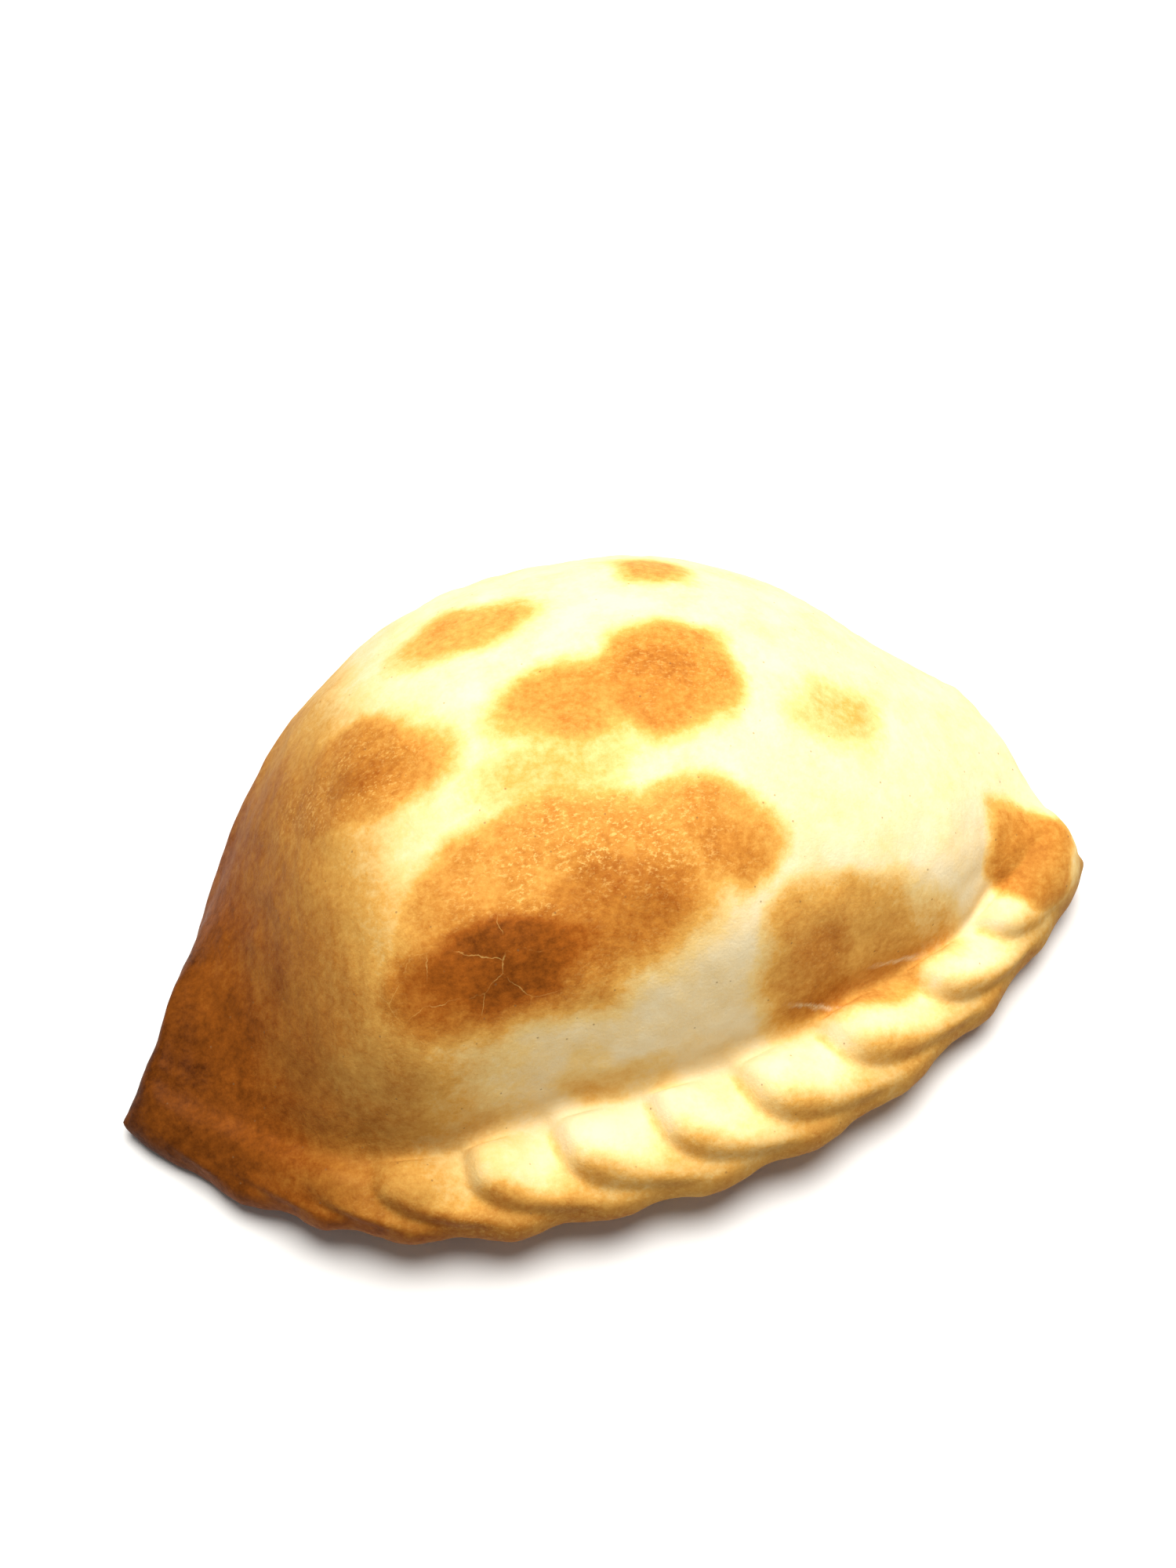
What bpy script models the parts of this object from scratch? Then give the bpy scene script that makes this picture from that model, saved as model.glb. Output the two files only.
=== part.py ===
"""A baked half-moon empanada: one solid turnover with a rope-crimped edge.

Metres, +Z up. X runs along the empanada from its flat left end to its rounded right end, the
crimped edge faces -Y and the plump fold faces +Y. It lies on a flat spot in the plane z = 0.

The crust is one closed surface. Rings of points go round the cross-section, from the rim up over
the border, the wall and the dome and back underneath, and are carried from the left end to the
right. Each ring is a smooth closed curve through a few guide points, and the guide points follow
the plan lines and the heights below.
"""

import bpy
import numpy as np

# Overall size
HALF_LENGTH = 0.0605        # middle to either tip of the crimped edge
RIM_BOW = 0.0261            # how far the crimped edge bows forward of the tips
BACK_BOW = 0.0581           # how far the fold swells out behind the tips
HEIGHT = 0.0390             # crown of the dome above the table

# Plan lines: bow falls off with a power of the place along the length, 0 middle to 1 tip
RIM_POWER = (2.90, 2.12)            # left half, right half
BACK_POWER = (2.0, 2.95)
BACK_ROUNDING = (0.85, 0.91)
BACK_CORNER_X = (0.0526, 0.0545)    # where the fold runs into the blunt ends
BACK_CORNER_Y = 0.0095
RIGHT_BULGE = 0.0057                # the fold's right end swells just before the knob
RIGHT_BULGE_AT = (0.871, 0.085)     # its place along the length, and its width

# Crimped border
BORDER_WIDTH = 0.0117       # rim to the foot of the wall, middle and right
BORDER_WIDTH_LEFT = 0.0068  # narrower towards the left end
BORDER_WIDENS = (-0.78, -0.08)      # places along the length between which it widens,
BORDER_NARROWS = (0.35, 0.92)       # and between which it narrows again
BORDER_NARROWING = 0.38
BORDER_TURNS = (0.72, 0.98)         # where it turns from square to the rim to straight across
BORDER_FOOT_Z = 0.0110      # foot of the wall, where dome and border meet
END_MIDDLE_Z = 0.0082       # half-way up the thickness of the ends

# Heights of the dome and of the ends
DOME_POWER = 2.3
DOME_ROUNDING = (0.85, 0.95)
END_TOP_Z = (0.0122, 0.0130)        # flat left end, and the right end under its knob
END_FOOT_Z = (0.0119, 0.0136)       # the groove at the wall's foot fills up towards the ends
END_SAG = 0.75                      # share of the dome's rise that is lost towards the ends
END_SAG_FROM = (0.40, 0.72)
END_SAG_TO = (0.95, 1.00)
BACK_Z = 0.0142                     # widest line of the fold, in the middle
END_BACK_Z = 0.0082                 # and at the ends
END_LIFT = (0.0043, 0.0042)         # underside of the ends above the table, before they sink
ENDS_RISE_FROM = 0.61               # where that line starts to sink and the underside to lift
END_SINK = (0.0055, 0.0030)         # how far the whole ends then sink towards the table,
END_SINKS_FROM = (0.55, 0.20)
END_SINKS_TO = (0.95, 0.85)
END_SPREAD = (-0.11, 0.39)          # and the shares of that by which they move along
END_SWING = 0.42                    # and back
END_CAP = 0.055                     # last share of each half, where the end rounds off
END_CORNER = (0.12, 0.26)           # how much of an end's width its rounded corners take
THIN_END = 0.07                     # what is left of the thickness in the last ring

# Guide points of the cross-section.
# Border: share of the way from the rim to the wall, and height.
BORDER_TOP = ((0.0, 0.0072), (0.09, 0.0093), (0.36, 0.0107), (0.70, 0.0114), (1.0, 0.0110))
BORDER_UNDER = ((0.86, 0.0036), (0.50, 0.0040), (0.16, 0.0048))
# Wall and dome: share of the way from the wall's foot to the back and share of the rise, in the
# middle, then the same two at the ends, where a steep wall gives way to a gentle slope.
WALL_AND_DOME = ((0.022, 0.14, 0.10, 0.20), (0.050, 0.39, 0.20, 0.42), (0.100, 0.665, 0.31, 0.66),
                 (0.19, 0.865, 0.42, 0.86), (0.35, 0.983, 0.55, 1.00), (0.52, 0.985, 0.68, 0.98))
BACK_SLOPE = ((0.70, 0.86, 0.77, 0.84), (0.875, 0.56, 0.87, 0.56), (0.975, 0.24, 0.955, 0.24))
# Underside: share of the way to the back and share of the back's height, the same way.
UNDERSIDE = ((0.965, 0.40, 0.97, 0.40), (0.875, 0.03, 0.88, 0.03), (0.77, -0.05, 0.76, -0.05),
             (0.52, -0.05, 0.55, -0.05), (0.25, -0.05, 0.38, -0.05), (0.16, 0.06, 0.24, 0.03),
             (0.09, 0.22, 0.11, 0.06))
GENTLE_FROM = (0.42, 0.70)          # where along each half the section changes over
GENTLE_TO = (0.95, 0.97)

# Crimp: nine pinched folds, each lying over its left neighbour
CREASES = (-0.0443, -0.0371, -0.0262, -0.0145, -0.0023, 0.0098, 0.0224, 0.0358, 0.0460)
END_PITCH = (0.0090, 0.0100)        # fold to fold beyond the first and the last crease
FOLD_HEIGHT = 0.0025
FOLD_SLANT = 0.20                   # folds by which a crease slants right on its way to the rim,
FOLD_HOOK = 0.80                    # and by which it then hooks right,
HOOK_AT = 0.80                      # at this share of the border,
HOOK_END = 1.04                     # which it passes by little
HOOK_POWER = 6
FOLD_CREST = 0.30                   # share of a fold, from its crease to its crest
CREASE_SOFTNESS = 0.12              # share of that way in which the crease is rounded
SCALLOP = 0.00045                   # bumps that the folds make in the outline
SCALLOPS_FROM = (-0.0600, -0.0500)
FOLDS_FROM = (-0.0520, -0.0180)     # the folds fade in from the plain left end
FOLDS_TO = (0.0440, 0.0570)         # and run out under the knob
# Places across the border, 0 at the wall's foot, 1 at the rim and more underneath
FOLD_STARTS = (-0.30, 0.30)         # where a fold swells up from the wall,
FOLD_THINS = (0.35, 1.00)           # and where it thins into the plain band along the rim
SCALLOP_STARTS = (0.55, 1.0)
SCALLOP_ENDS = (1.2, 2.2)

# Knob, a round button of dough that ends the rope on the right
KNOB_X = 0.0534
KNOB_Y = 0.0028
KNOB_RADIUS = 0.0067
KNOB_RISE = 0.0019
KNOB_ROUNDING = 0.9                 # power of its dome's fall from the middle to the edge
KNOB_TOP_FROM = (0.0040, 0.0073)    # heights between which it leaves the underside free
KNOB_EDGE = 0.03                    # last share of the length, where it runs out into the end

# Gentle unevenness of rolled and baked dough
DENT_DEPTH = 0.00025
DENT_LENGTH = 0.024
DENT_ACROSS = 0.8                   # the dents are this much closer along than across,
DENT_BEND = 1.3                     # and their rows bend by this much
DENT_BEND_PITCH = 0.6
DENTS_FADE = 0.5                    # last share of each half, where they die away

# Facets: rings along the length, points round each ring
RINGS = 104
RING_POINTS = 48
BORDER_DENSITY = 2.2                # points are this much closer on the border
UNDER_DENSITY = 0.6                 # and by this share of that underneath it
THIN_OUT = (0.003, 0.011)           # distances past the wall's foot where they thin out,
CLOSE_UP = (-0.004, 0.003)          # and past the border's underside where they close up
PLACE_STEPS = 4000
RING_CROWDING = 0.5                 # share by which rings crowd towards the ends

CRUST = (0.78, 0.50, 0.20, 1.0)
CRUST_ROUGHNESS = 0.6


def ease(start, end, value):
    """Smooth step: 0 before start, 1 after end, level and unbent at both."""
    share = np.clip((value - start) / (end - start), 0.0, 1.0)
    return share ** 3 * (10.0 - 15.0 * share + 6.0 * share ** 2)


def by_side(along, pair):
    """The first of the pair on the left half, the second on the right."""
    return np.where(along < 0.0, pair[0], pair[1])


def rim_line(along):
    """Plan points of the rim, and the directions straight in from it."""
    power = by_side(along, RIM_POWER)
    reach = np.abs(along)
    rim = np.stack([HALF_LENGTH * along, -RIM_BOW * (1.0 - reach ** power)], -1)
    slope = RIM_BOW * power * reach ** (power - 1.0) * np.sign(along) / HALF_LENGTH
    inward = np.stack([-slope, np.ones_like(slope)], -1)
    return rim, inward / np.linalg.norm(inward, axis=-1, keepdims=True)


def back_line(along):
    """Plan points of the back, from the left end's inner corner to the right end's."""
    fall = np.maximum(1.0 - np.abs(along) ** by_side(along, BACK_POWER), 0.0)
    y = BACK_CORNER_Y + (BACK_BOW - BACK_CORNER_Y) * fall ** by_side(along, BACK_ROUNDING)
    bulge = RIGHT_BULGE * np.exp(-((along - RIGHT_BULGE_AT[0]) / RIGHT_BULGE_AT[1]) ** 2)
    return np.stack([by_side(along, BACK_CORNER_X) * along + bulge, y], -1)


def border_width(along):
    """Width of the border: narrow on the left, and narrowing again under the knob."""
    width = BORDER_WIDTH_LEFT + (BORDER_WIDTH - BORDER_WIDTH_LEFT) * ease(*BORDER_WIDENS, along)
    return width * (1.0 - BORDER_NARROWING * ease(*BORDER_NARROWS, along))


def guide_points(along):
    """Guide points of every ring: array of rings x guide points x 3."""
    rim, inward = rim_line(along)
    back = back_line(along)
    reach = np.abs(along)
    across = back - rim
    across /= np.linalg.norm(across, axis=1, keepdims=True)
    turn = ease(*BORDER_TURNS, reach)[:, None]
    border = inward * (1.0 - turn) + across * turn
    border *= border_width(along)[:, None] / np.linalg.norm(border, axis=1, keepdims=True)
    foot = rim + border

    end_top = by_side(along, END_TOP_Z)
    fall = np.maximum(1.0 - reach ** DOME_POWER, 0.0)
    sag = END_SAG * ease(by_side(along, END_SAG_FROM), by_side(along, END_SAG_TO), reach)
    top = end_top + (HEIGHT - end_top) * fall ** by_side(along, DOME_ROUNDING) * (1.0 - sag)
    rising = ease(ENDS_RISE_FROM, 1.0, reach)
    back_z = BACK_Z + (END_BACK_Z - BACK_Z) * rising
    lift = by_side(along, END_LIFT) * rising

    gentle = ease(by_side(along, GENTLE_FROM), by_side(along, GENTLE_TO), reach)
    foot_z = BORDER_FOOT_Z + gentle * (by_side(along, END_FOOT_Z) - BORDER_FOOT_Z)
    guides = []

    def add(start, step, share, z):
        plan = start + step * np.broadcast_to(share, along.shape)[:, None]
        guides.append(np.column_stack([plan, np.broadcast_to(z, along.shape)]))

    for share, z in BORDER_TOP:
        add(rim, border, share, z + share * (foot_z - BORDER_FOOT_Z))
    for share, rise, end_share, end_rise in WALL_AND_DOME:
        climb = rise + (end_rise - rise) * gentle
        add(foot, back - foot, share + (end_share - share) * gentle,
            foot_z + climb * (top - foot_z))
    for share, rise, end_share, end_rise in BACK_SLOPE:
        climb = rise + (end_rise - rise) * gentle
        climb = (BORDER_FOOT_Z - BACK_Z + climb * (HEIGHT - BORDER_FOOT_Z)) / (HEIGHT - BACK_Z)
        add(foot, back - foot, share + (end_share - share) * gentle,
            back_z + climb * (top - back_z))
    add(back, back - foot, 0.0, back_z)
    for share, rise, end_share, end_rise in UNDERSIDE:
        climb = rise + (end_rise - rise) * gentle
        add(foot, back - foot, share + (end_share - share) * gentle,
            lift + climb * (back_z - lift * (climb > 0.0)))
    for share, z in BORDER_UNDER:
        add(rim, border, share, z)
    guides = np.stack(guides, axis=1)

    # The ends round off: the thickness shrinks along a quarter circle, the corners a little.
    cap = np.clip((reach - 1.0 + END_CAP) / END_CAP, 0.0, 1.0)
    thickness = np.maximum(np.sqrt(1.0 - cap ** 2), THIN_END)[:, None, None]
    middle = np.column_stack([(rim + back) / 2.0, np.full(along.shape, END_MIDDLE_Z)])[:, None]
    narrowing = 1.0 - by_side(along, END_CORNER)[:, None, None] * (1.0 - thickness)
    shrink = np.concatenate([narrowing, narrowing, thickness], axis=2)
    guides = middle + (guides - middle) * shrink

    # The ends sink towards the table, and move out and back a little as they do.
    sink = by_side(along, END_SINK) * ease(by_side(along, END_SINKS_FROM),
                                           by_side(along, END_SINKS_TO), reach)
    spread = by_side(along, END_SPREAD) * sink
    return guides + np.column_stack([spread, END_SWING * sink, -sink])[:, None]


def ring_knots():
    """Distances round the middle ring at which its guide points lie, and its whole length."""
    ring = guide_points(np.zeros(1))[0]
    steps = np.linalg.norm(np.roll(ring, -1, axis=0) - ring, axis=1)
    return np.concatenate([[0.0], np.cumsum(steps)[:-1]]), steps.sum()


def closed_curve_weights(knots, length, places):
    """Weights of the guide points in a closed cubic spline, for each place round it."""
    count = len(knots)
    gaps = np.diff(np.append(knots, knots[0] + length))
    here = np.arange(count)
    after = (here + 1) % count
    before = (here - 1) % count
    bend = np.zeros((count, count))
    pull = np.zeros((count, count))
    bend[here, before] += gaps[before]
    bend[here, here] += 2.0 * (gaps[before] + gaps)
    bend[here, after] += gaps
    pull[here, before] += 6.0 / gaps[before]
    pull[here, here] -= 6.0 / gaps[before] + 6.0 / gaps
    pull[here, after] += 6.0 / gaps
    curvature = np.linalg.solve(bend, pull)

    first = np.clip(np.searchsorted(knots, places, side="right") - 1, 0, count - 1)
    second = after[first]
    gap = gaps[first][:, None]
    past = places[:, None] - knots[first][:, None]
    left = gap - past
    unit = np.eye(count)
    return (unit[first] * left / gap + unit[second] * past / gap
            + curvature[first] * (left ** 3 / gap - gap * left) / 6.0
            + curvature[second] * (past ** 3 / gap - gap * past) / 6.0)


def ring_places(knots, length, count):
    """Places round the ring, closer together over the border than over the dome."""
    foot = knots[len(BORDER_TOP) - 1]
    under = knots[-len(BORDER_UNDER)]
    fine = np.linspace(0.0, length, PLACE_STEPS + 1)
    on_border = 1.0 - ease(*THIN_OUT, fine - foot)
    on_underside = UNDER_DENSITY * ease(*CLOSE_UP, fine - under)
    density = 1.0 + (BORDER_DENSITY - 1.0) * (on_border + on_underside)
    total = np.concatenate([[0.0], np.cumsum(density[1:] + density[:-1])])
    return np.interp(np.arange(count) / count * total[-1], total, fine)


def fold_place(x, across):
    """Share of the way through its own fold at which a point lies, 0 at the fold's crease.

    across is 0 at the wall's foot and 1 at the rim. The creases slant and then hook right.
    """
    first, last = CREASES[0] - END_PITCH[0], CREASES[-1] + END_PITCH[1]
    marks = np.array((first - END_PITCH[0], first, *CREASES, last, last + END_PITCH[1]))
    hook = np.minimum(across / HOOK_AT, HOOK_END) ** HOOK_POWER
    sweep = FOLD_SLANT * across + FOLD_HOOK * hook
    count = np.interp(x, marks, np.arange(len(marks))) - sweep
    return count - np.floor(count)


def fold_relief(share):
    """Height of a fold and its bump in the outline, in shares of a full fold.

    A fold swells up steeply from its crease and sinks gently to the next one.
    """
    climb = np.hypot(share / FOLD_CREST, CREASE_SOFTNESS) - CREASE_SOFTNESS
    swell = 1.0 - (1.0 - climb) ** 3
    sink = 0.5 + 0.5 * np.cos(np.pi * (share - FOLD_CREST) / (1.0 - FOLD_CREST))
    height = np.where(share < FOLD_CREST, swell, sink)
    scallop = np.cos(2.0 * np.pi * (share - FOLD_CREST))
    return height, scallop


def crust_surface(rings, ring_points):
    """Points of the crust, as an array of rings x points round the ring x 3."""
    spread = np.linspace(-1.0, 1.0, rings)
    along = (1.0 - RING_CROWDING) * spread + RING_CROWDING * np.sin(np.pi * spread / 2.0)
    knots, length = ring_knots()
    places = ring_places(knots, length, ring_points)
    weights = closed_curve_weights(knots, length, places)
    points = np.einsum("pg,rgc->rpc", weights, guide_points(along))

    # Directions straight out of the plain surface
    rightwards = np.gradient(points, axis=0)
    upwards = np.roll(points, -1, axis=1) - np.roll(points, 1, axis=1)
    outwards = np.cross(rightwards, upwards)
    outwards /= np.linalg.norm(outwards, axis=2, keepdims=True)

    # The knob: a low dome on the top of the right end
    aside = (points[..., :2] - (KNOB_X, KNOB_Y)) / KNOB_RADIUS
    knob = np.maximum(1.0 - np.sum(aside ** 2, axis=2), 0.0) ** KNOB_ROUNDING
    knob *= ease(*KNOB_TOP_FROM, points[..., 2]) * ease(0.0, KNOB_EDGE, 1.0 - along)[:, None]

    # The crimp: folds over the border, fading on to the wall, underneath and under the knob
    foot = knots[len(BORDER_TOP) - 1]
    across = 1.0 - np.where(places < length / 2.0, places, places - length) / foot
    across = np.where(places < length / 2.0, across, 2.0 - across)[None, :]
    x = (HALF_LENGTH * along)[:, None]
    height, scallop = fold_relief(fold_place(x, np.clip(across, 0.0, 1.0)))
    folded = ease(*FOLDS_FROM, x) * (1.0 - ease(*FOLDS_TO, x)) * (1.0 - knob)
    top = ease(*FOLD_STARTS, across) * (1.0 - ease(*FOLD_THINS, across))
    at_rim = ease(*SCALLOP_STARTS, across) * (1.0 - ease(*SCALLOP_ENDS, across))
    scalloped = ease(*SCALLOPS_FROM, x) * (1.0 - ease(*FOLDS_TO, x)) * (1.0 - knob)
    rise = folded * FOLD_HEIGHT * height * top + scalloped * SCALLOP * scallop * at_rim

    # The dents of the dough
    wave = 2.0 * np.pi * points / DENT_LENGTH
    bend = DENT_BEND * np.sin(DENT_BEND_PITCH * wave[..., 1])
    dents = np.sin(wave[..., 0] + bend) * np.cos(DENT_ACROSS * wave[..., 1])
    dents = DENT_DEPTH * dents * ease(0.0, DENTS_FADE, 1.0 - np.abs(along))[:, None]

    rise = rise + KNOB_RISE * knob + dents
    points = points + outwards * rise[..., None]
    points[..., 2] = np.maximum(points[..., 2], 0.0)
    points[..., :2] -= (points.min(axis=(0, 1)) + points.max(axis=(0, 1)))[:2] / 2.0
    return points


def crust_mesh(name, rings, ring_points):
    """The crust as one closed mesh: quads between the rings, and a fan on each end."""
    points = crust_surface(rings, ring_points)
    tips = points[[0, -1]].mean(axis=1)
    verts = np.concatenate([points.reshape(-1, 3), tips])
    ring = np.arange(rings - 1)[:, None] * ring_points
    here = np.arange(ring_points)
    after = (here + 1) % ring_points
    quads = np.stack([ring + here, ring + ring_points + here, ring + ring_points + after,
                      ring + after], -1).reshape(-1, 4)
    left_tip = rings * ring_points
    last = (rings - 1) * ring_points
    left_fan = np.column_stack([np.full(ring_points, left_tip), here, after])
    right_fan = np.column_stack([np.full(ring_points, left_tip + 1), last + after, last + here])
    mesh = bpy.data.meshes.new(name)
    mesh.from_pydata(verts.tolist(), [], quads.tolist() + left_fan.tolist() + right_fan.tolist())
    mesh.update()
    mesh.shade_smooth()
    return mesh


def crust_material():
    """Matt golden-brown baked dough."""
    material = bpy.data.materials.new("baked_crust")
    material.use_nodes = True
    shader = material.node_tree.nodes["Principled BSDF"]
    shader.inputs["Base Color"].default_value = CRUST
    shader.inputs["Roughness"].default_value = CRUST_ROUGHNESS
    return material


for old in list(bpy.data.objects):
    bpy.data.objects.remove(old, do_unlink=True)

empanada = bpy.data.objects.new("empanada", crust_mesh("empanada", RINGS, RING_POINTS))
empanada.data.materials.append(crust_material())
bpy.context.scene.collection.objects.link(empanada)
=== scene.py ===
"""A baked half-moon empanada with a rope-crimped edge, lying on a pale table.

Metres, +Z up. X runs along the empanada from its flat left end to its rounded right end, the
crimped edge faces -Y and the plump fold faces +Y. It lies on a flat spot in the plane z = 0.
"""

import bpy
import numpy as np
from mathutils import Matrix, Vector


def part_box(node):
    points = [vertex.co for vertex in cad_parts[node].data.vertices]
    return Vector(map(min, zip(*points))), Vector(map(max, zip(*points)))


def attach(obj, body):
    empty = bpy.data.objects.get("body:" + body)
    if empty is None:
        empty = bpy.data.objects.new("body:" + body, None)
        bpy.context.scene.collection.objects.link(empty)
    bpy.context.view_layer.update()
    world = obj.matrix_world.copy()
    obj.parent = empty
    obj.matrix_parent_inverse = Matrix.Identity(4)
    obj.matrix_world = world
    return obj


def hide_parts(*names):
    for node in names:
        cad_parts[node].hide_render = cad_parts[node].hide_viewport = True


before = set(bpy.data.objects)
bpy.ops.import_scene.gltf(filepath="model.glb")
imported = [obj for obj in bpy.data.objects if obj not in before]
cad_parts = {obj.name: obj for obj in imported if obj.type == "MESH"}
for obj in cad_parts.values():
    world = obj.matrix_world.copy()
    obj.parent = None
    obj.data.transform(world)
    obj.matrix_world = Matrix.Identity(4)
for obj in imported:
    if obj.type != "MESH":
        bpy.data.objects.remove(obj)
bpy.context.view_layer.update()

# ---------------------------------------------------------------------------------------------
# Crust
# The whole empanada: one disc of wheat dough folded over its filling, its open edge rolled into
# nine pinched folds and tucked into a knob on the right, then baked on a tray until it blistered
# and browned in patches. Rings of points go round the cross-section, from the rim up over the
# border, the wall and the dome and back underneath, and are carried from the left end to the
# right. Each ring is a smooth closed curve through a few guide points.
# ---------------------------------------------------------------------------------------------
MM = 0.001

# Overall size
HALF_LENGTH = 0.0605        # middle to either tip of the crimped edge
RIM_BOW = 0.0261            # how far the crimped edge bows forward of the tips
BACK_BOW = 0.0581           # how far the fold swells out behind the tips
HEIGHT = 0.0390             # crown of the dome above the table

# Plan lines: bow falls off with a power of the place along the length, 0 middle to 1 tip
RIM_POWER = (2.90, 2.12)            # left half, right half
BACK_POWER = (2.0, 2.95)
BACK_ROUNDING = (0.85, 0.91)
BACK_CORNER_X = (0.0526, 0.0545)    # where the fold runs into the blunt ends
BACK_CORNER_Y = 0.0095
RIGHT_BULGE = 0.0057                # the fold's right end swells just before the knob
RIGHT_BULGE_AT = (0.871, 0.085)     # its place along the length, and its width

# Crimped border
BORDER_WIDTH = 0.0117       # rim to the foot of the wall, middle and right
BORDER_WIDTH_LEFT = 0.0068  # narrower towards the left end
BORDER_WIDENS = (-0.78, -0.08)      # places along the length between which it widens,
BORDER_NARROWS = (0.35, 0.92)       # and between which it narrows again
BORDER_NARROWING = 0.38
BORDER_TURNS = (0.72, 0.98)         # where it turns from square to the rim to straight across
BORDER_FOOT_Z = 0.0110      # foot of the wall, where dome and border meet
END_MIDDLE_Z = 0.0082       # half-way up the thickness of the ends

# Heights of the dome and of the ends
DOME_POWER = 2.3
DOME_ROUNDING = (0.85, 0.95)
END_TOP_Z = (0.0122, 0.0130)        # flat left end, and the right end under its knob
END_FOOT_Z = (0.0119, 0.0136)       # the groove at the wall's foot fills up towards the ends
END_SAG = 0.75                      # share of the dome's rise that is lost towards the ends
END_SAG_FROM = (0.40, 0.72)
END_SAG_TO = (0.95, 1.00)
BACK_Z = 0.0142                     # widest line of the fold, in the middle
END_BACK_Z = 0.0082                 # and at the ends
END_LIFT = (0.0043, 0.0042)         # underside of the ends above the table, before they sink
ENDS_RISE_FROM = 0.61               # where that line starts to sink and the underside to lift
END_SINK = (0.0055, 0.0030)         # how far the whole ends then sink towards the table,
END_SINKS_FROM = (0.55, 0.20)
END_SINKS_TO = (0.95, 0.85)
END_SPREAD = (-0.11, 0.39)          # and the shares of that by which they move along
END_SWING = 0.42                    # and back
END_CAP = 0.055                     # last share of each half, where the end rounds off
END_CORNER = (0.12, 0.26)           # how much of an end's width its rounded corners take
THIN_END = 0.07                     # what is left of the thickness in the last ring

# Guide points of the cross-section.
# Border: share of the way from the rim to the wall, and height.
BORDER_TOP = ((0.0, 0.0072), (0.09, 0.0093), (0.36, 0.0107), (0.70, 0.0114), (1.0, 0.0110))
BORDER_UNDER = ((0.86, 0.0036), (0.50, 0.0040), (0.16, 0.0048))
# Wall and dome: share of the way from the wall's foot to the back and share of the rise, in the
# middle, then the same two at the ends, where a steep wall gives way to a gentle slope.
WALL_AND_DOME = ((0.022, 0.14, 0.10, 0.20), (0.050, 0.39, 0.20, 0.42), (0.100, 0.665, 0.31, 0.66),
                 (0.19, 0.865, 0.42, 0.86), (0.35, 0.983, 0.55, 1.00), (0.52, 0.985, 0.68, 0.98))
BACK_SLOPE = ((0.70, 0.86, 0.77, 0.84), (0.875, 0.56, 0.87, 0.56), (0.975, 0.24, 0.955, 0.24))
# Underside: share of the way to the back and share of the back's height, the same way.
UNDERSIDE = ((0.965, 0.40, 0.97, 0.40), (0.875, 0.03, 0.88, 0.03), (0.77, -0.05, 0.76, -0.05),
             (0.52, -0.05, 0.55, -0.05), (0.25, -0.05, 0.38, -0.05), (0.16, 0.06, 0.24, 0.03),
             (0.09, 0.22, 0.11, 0.06))
GENTLE_FROM = (0.42, 0.70)          # where along each half the section changes over
GENTLE_TO = (0.95, 0.97)

# Crimp: nine pinched folds, each lying over its left neighbour
CREASES = (-0.0443, -0.0371, -0.0262, -0.0145, -0.0023, 0.0098, 0.0224, 0.0358, 0.0460)
END_PITCH = (0.0090, 0.0100)        # fold to fold beyond the first and the last crease
FOLD_HEIGHT = 0.0025
FOLD_SLANT = 0.20                   # folds by which a crease slants right on its way to the rim,
FOLD_HOOK = 0.80                    # and by which it then hooks right,
HOOK_AT = 0.80                      # at this share of the border,
HOOK_END = 1.04                     # which it passes by little
HOOK_POWER = 6
FOLD_CREST = 0.30                   # share of a fold, from its crease to its crest
CREASE_SOFTNESS = 0.12              # share of that way in which the crease is rounded
SCALLOP = 0.00045                   # bumps that the folds make in the outline
SCALLOPS_FROM = (-0.0600, -0.0500)
FOLDS_FROM = (-0.0520, -0.0180)     # the folds fade in from the plain left end
FOLDS_TO = (0.0440, 0.0570)         # and run out under the knob
# Places across the border, 0 at the wall's foot, 1 at the rim and more underneath
FOLD_STARTS = (-0.30, 0.30)         # where a fold swells up from the wall,
FOLD_THINS = (0.35, 1.00)           # and where it thins into the plain band along the rim
SCALLOP_STARTS = (0.55, 1.0)
SCALLOP_ENDS = (1.2, 2.2)

# Knob, a round button of dough that ends the rope on the right
KNOB_X = 0.0534
KNOB_Y = 0.0028
KNOB_RADIUS = 0.0067
KNOB_RISE = 0.0019
KNOB_ROUNDING = 0.9                 # power of its dome's fall from the middle to the edge
KNOB_TOP_FROM = (0.0040, 0.0073)    # heights between which it leaves the underside free
KNOB_EDGE = 0.03                    # last share of the length, where it runs out into the end

# Gentle unevenness of rolled and baked dough
DENT_DEPTH = 0.00025
DENT_LENGTH = 0.024
DENT_ACROSS = 0.8                   # the dents are this much closer along than across,
DENT_BEND = 1.3                     # and their rows bend by this much
DENT_BEND_PITCH = 0.6
DENTS_FADE = 0.5                    # last share of each half, where they die away

# Fine relief: blisters and the grain of the dough
BLISTERS = 90
BLISTER_WIDTH = (0.0009, 0.0022)
BLISTER_HEIGHT = (0.00006, 0.00020)
BLISTER_SEED = 7
BLISTERS_UP_TO = 0.2                # place across the border as far as which they spread,
BLISTERS_FACE_UP = 0.1              # and how far up the dough faces there at least
GRAIN = ((0.0060, 0.00006), (0.0026, 0.000035))     # wave length and height
GRAIN_SEED = 21

# Facets: rings along the length, points round each ring
RINGS = 460
RING_POINTS = 216
BORDER_DENSITY = 3.2                # points are this much closer on the border
UNDER_DENSITY = 0.4                 # and by this share of that underneath it
THIN_OUT = (0.003, 0.011)           # distances past the wall's foot where they thin out,
CLOSE_UP = (-0.004, 0.003)          # and past the border's underside where they close up
PLACE_STEPS = 4000
RING_CROWDING = 0.4                 # share by which rings crowd towards the ends


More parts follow.
